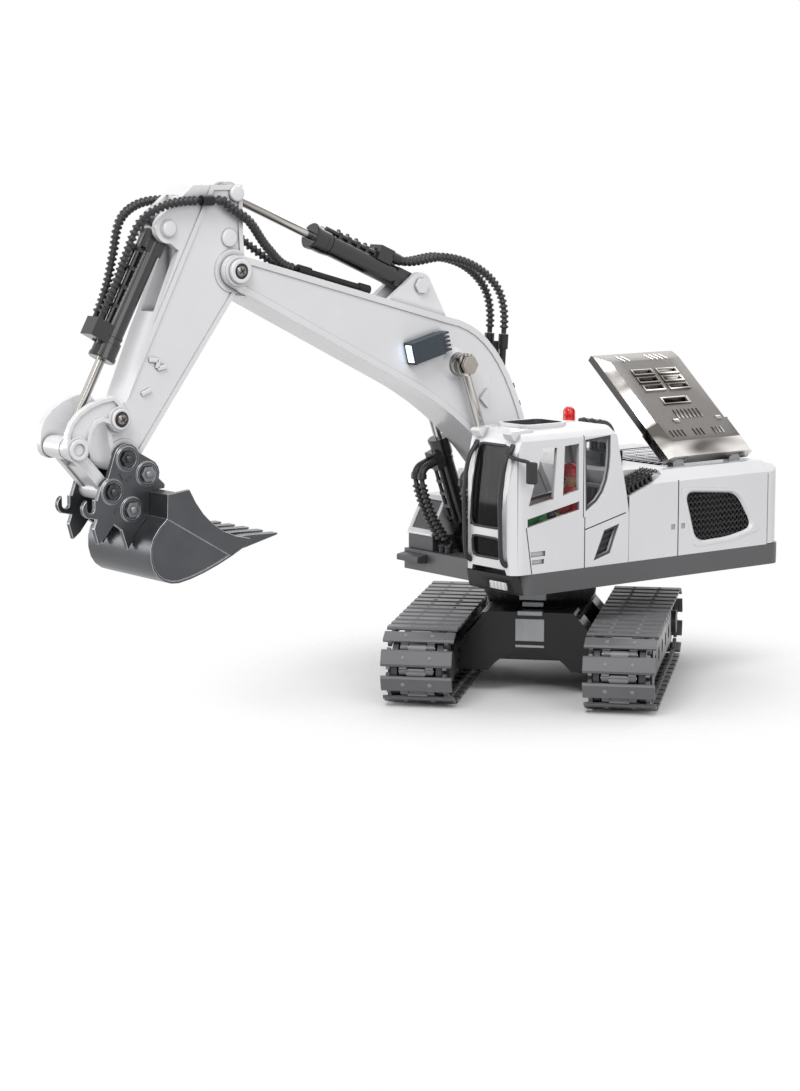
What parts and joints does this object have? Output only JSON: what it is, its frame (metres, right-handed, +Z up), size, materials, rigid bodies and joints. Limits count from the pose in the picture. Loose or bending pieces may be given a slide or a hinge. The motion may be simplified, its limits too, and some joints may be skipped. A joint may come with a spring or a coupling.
{
  "type": "radio controlled excavator",
  "caption": "Toy crawler excavator with slewing house and cab, hinged hood, boom, arm and bucket on coupled hydraulic-style cylinders, ribbed hoses and linked tracks.",
  "frame": {"origin": "on the ground plane, on the slewing axis of the house", "axes": "+X forward along the boom, +Y to the machine's left where the cab is, +Z up; the crawlers are turned 42 degrees under the house"},
  "size_m": [0.3239, 0.1766, 0.2046],
  "materials": {
    "white_shell": "gloss",
    "ballast": "gloss",
    "grey_skirt": "satin",
    "black_plastic": "satin",
    "track": "satin",
    "wheel": "satin",
    "steel": "polished",
    "barrel": "satin",
    "gunmetal": "satin",
    "hood_grey": "satin",
    "mesh": "metallic",
    "lamp_red": "gloss",
    "clear": "clear",
    "interior": "satin",
    "seat": "satin",
    "figure": "satin",
    "electrics": "satin",
    "motor": "metallic",
    "hose": "satin"
  },
  "bodies": {
    "chassis": {"chassis_frame": "black_plastic", "belly_cover": "black_plastic", "track_frame_left": "black_plastic", "track_frame_right": "black_plastic", "track_links_left": "track", "track_links_right": "track", "track_pins": "steel", "drive_motors": "motor"},
    "sprocket_left": {"sprocket_left": "wheel"},
    "sprocket_right": {"sprocket_right": "wheel"},
    "idler_left": {"idler_left": "wheel"},
    "idler_right": {"idler_right": "wheel"},
    "house": {"deck": "grey_skirt", "front_skirt": "black_plastic", "house_shell": "white_shell", "counterweight": "ballast", "side_grilles": "black_plastic", "tool_box": "white_shell", "pump_block": "black_plastic", "beacon": "lamp_red", "mesh_plate": "mesh", "battery_pack": "electrics", "control_board": "electrics", "slew_motor": "motor", "boom_bracket": "black_plastic", "house_pins": "steel", "cab_shell": "white_shell", "cab_glass": "clear", "cab_interior": "interior", "driver_seat": "seat", "driver": "figure", "cab_trim": "black_plastic", "hoses_boom_cylinder_left": "hose", "hoses_boom_cylinder_right": "hose", "hose_bundle": "hose"},
    "hood": {"hood": "hood_grey"},
    "boom": {"boom_half_left": "white_shell", "boom_half_right": "white_shell", "boom_lamps": "black_plastic", "boom_bolts": "steel", "boom_pipes": "black_plastic", "hoses_boom_arm": "hose", "hoses_arm_cylinder": "hose"},
    "boom_barrel_left": {"boom_barrel_left": "barrel"},
    "boom_barrel_right": {"boom_barrel_right": "barrel"},
    "boom_rod_left": {"boom_rod_left": "steel"},
    "boom_rod_right": {"boom_rod_right": "steel"},
    "arm": {"arm_shell": "white_shell", "arm_bolts": "steel", "hoses_bucket_cylinder": "hose"},
    "arm_barrel": {"arm_barrel": "barrel"},
    "arm_rod": {"arm_rod": "steel"},
    "bucket_barrel": {"bucket_barrel": "barrel"},
    "bucket_rod": {"bucket_rod": "steel"},
    "rocker": {"rocker": "white_shell"},
    "link": {"link": "white_shell"},
    "bucket": {"coupler": "gunmetal", "bucket": "gunmetal", "coupler_bolts": "steel"}
  },
  "joints": [
    {"name": "slew", "type": "hinge", "parent": "chassis", "child": "house", "pos_m": [0, 0, 0.04422], "axis": [0, 0, 1], "range_deg": [-340, 340]},
    {"name": "sprocket_left_spin", "type": "hinge", "parent": "chassis", "child": "sprocket_left", "pos_m": [-0.0699, -0.00979, 0.01496], "axis": [-0.6691, 0.7431, 0], "continuous": true},
    {"name": "idler_left_spin", "type": "hinge", "parent": "chassis", "child": "idler_left", "pos_m": [0.01704, 0.0685, 0.01496], "axis": [-0.6691, 0.7431, 0], "continuous": true},
    {"name": "sprocket_right_spin", "type": "hinge", "parent": "chassis", "child": "sprocket_right", "pos_m": [-0.01704, -0.0685, 0.01496], "axis": [-0.6691, 0.7431, 0], "continuous": true},
    {"name": "idler_right_spin", "type": "hinge", "parent": "chassis", "child": "idler_right", "pos_m": [0.0699, 0.00979, 0.01496], "axis": [-0.6691, 0.7431, 0], "continuous": true},
    {"name": "hood_hinge", "type": "hinge", "parent": "house", "child": "hood", "pos_m": [-0.063, 0.03, 0.08992], "axis": [-1, 0, 0], "range_deg": [-40, 0]},
    {"name": "boom_pivot", "type": "hinge", "parent": "house", "child": "boom", "pos_m": [0, -0.0065, 0.06602], "axis": [0, -1, 0], "range_deg": [-18, 24], "deforming": ["hose_bundle"]},
    {"name": "arm_pivot", "type": "hinge", "parent": "boom", "child": "arm", "pos_m": [0.15197, -0.0065, 0.17204], "axis": [0, -1, 0], "range_deg": [-30, 15], "deforming": ["hoses_boom_arm"]},
    {"name": "bucket_pivot", "type": "hinge", "parent": "arm", "child": "bucket", "pos_m": [0.20075, -0.0065, 0.10587], "axis": [0, -1, 0], "range_deg": [-20, 60]},
    {"name": "rocker_pivot", "type": "hinge", "parent": "arm", "child": "rocker", "pos_m": [0.20395, -0.0065, 0.12047], "axis": [0, -1, 0], "range_deg": [-14.72, 42.15]},
    {"name": "link_pivot", "type": "hinge", "parent": "rocker", "child": "link", "pos_m": [0.22175, -0.0065, 0.11057], "axis": [0, -1, 0], "range_deg": [-25.54, 9.18]},
    {"name": "boom_barrel_left_pivot", "type": "hinge", "parent": "house", "child": "boom_barrel_left", "pos_m": [0.0215, 0.0085, 0.05802], "axis": [0, -1, 0], "range_deg": [-18.67, 24.56], "deforming": ["hoses_boom_cylinder_left"]},
    {"name": "boom_rod_left_slide", "type": "slide", "parent": "boom_barrel_left", "child": "boom_rod_left", "axis": [0.3351, 0, 0.9422], "range_m": [-0.00755, 0.00989]},
    {"name": "boom_barrel_right_pivot", "type": "hinge", "parent": "house", "child": "boom_barrel_right", "pos_m": [0.0215, -0.0215, 0.05802], "axis": [0, -1, 0], "range_deg": [-18.67, 24.56], "deforming": ["hoses_boom_cylinder_right"]},
    {"name": "boom_rod_right_slide", "type": "slide", "parent": "boom_barrel_right", "child": "boom_rod_right", "axis": [0.3351, 0, 0.9422], "range_m": [-0.00755, 0.00989]},
    {"name": "arm_barrel_pivot", "type": "hinge", "parent": "boom", "child": "arm_barrel", "pos_m": [0.063, -0.0065, 0.16352], "axis": [0, -1, 0], "range_deg": [-4.76, 2.88], "deforming": ["hoses_arm_cylinder"]},
    {"name": "arm_rod_slide", "type": "slide", "parent": "arm_barrel", "child": "arm_rod", "axis": [0.9214, 0, 0.3887], "range_m": [-0.00709, 0.01368]},
    {"name": "bucket_barrel_pivot", "type": "hinge", "parent": "arm", "child": "bucket_barrel", "pos_m": [0.17997, -0.0065, 0.18804], "axis": [0, -1, 0], "range_deg": [-3.33, 7.99], "deforming": ["hoses_bucket_cylinder"]},
    {"name": "bucket_rod_slide", "type": "slide", "parent": "bucket_barrel", "child": "bucket_rod", "axis": [0.4747, 0, -0.8801], "range_m": [-0.01044, 0.00381]}
  ],
  "couplings": [
    {"joint": "boom_barrel_left_pivot", "follows": "boom_pivot", "ratio": 0.98157},
    {"joint": "boom_rod_left_slide", "follows": "boom_pivot", "m_per_rad": 0.022429},
    {"joint": "boom_barrel_right_pivot", "follows": "boom_pivot", "ratio": 0.98157},
    {"joint": "boom_rod_right_slide", "follows": "boom_pivot", "m_per_rad": 0.022429},
    {"joint": "arm_barrel_pivot", "follows": "arm_pivot", "ratio": 0.12527},
    {"joint": "arm_rod_slide", "follows": "arm_pivot", "m_per_rad": -0.025167},
    {"joint": "bucket_barrel_pivot", "follows": "bucket_pivot", "ratio": 0.11648},
    {"joint": "bucket_rod_slide", "follows": "bucket_pivot", "m_per_rad": -0.009489},
    {"joint": "rocker_pivot", "follows": "bucket_pivot", "ratio": 0.68578},
    {"joint": "link_pivot", "follows": "bucket_pivot", "ratio": -0.40903},
    {"joint": "idler_left_spin", "follows": "sprocket_left_spin", "ratio": 1},
    {"joint": "idler_right_spin", "follows": "sprocket_right_spin", "ratio": 1}
  ]
}
